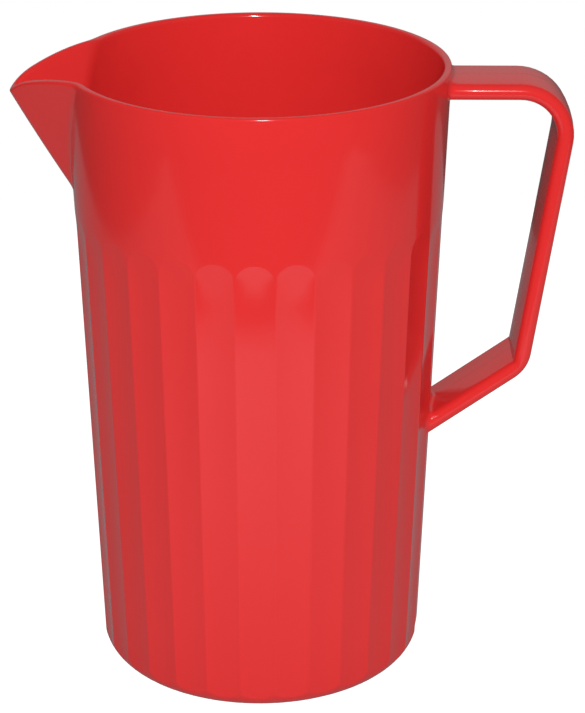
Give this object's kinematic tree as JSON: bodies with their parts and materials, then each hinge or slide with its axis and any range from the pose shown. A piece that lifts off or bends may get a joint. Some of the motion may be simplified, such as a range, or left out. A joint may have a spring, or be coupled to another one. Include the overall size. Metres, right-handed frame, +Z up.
{
  "type": "pitcher",
  "caption": "Tapered moulded-plastic pitcher with a plain collar, concave flutes, a V-shaped pouring spout and a flat strap handle opposite it.",
  "frame": {"origin": "centre of the base on the ground", "axes": "+Z up, +X from the body's axis towards the handle, -X towards the spout, +Y to the side"},
  "size_m": [0.1764, 0.121, 0.2024],
  "materials": {
    "red_plastic": "glossy"
  },
  "bodies": {
    "root": {"body": "red_plastic", "base": "red_plastic", "spout": "red_plastic", "handle": "red_plastic"}
  },
  "joints": []
}
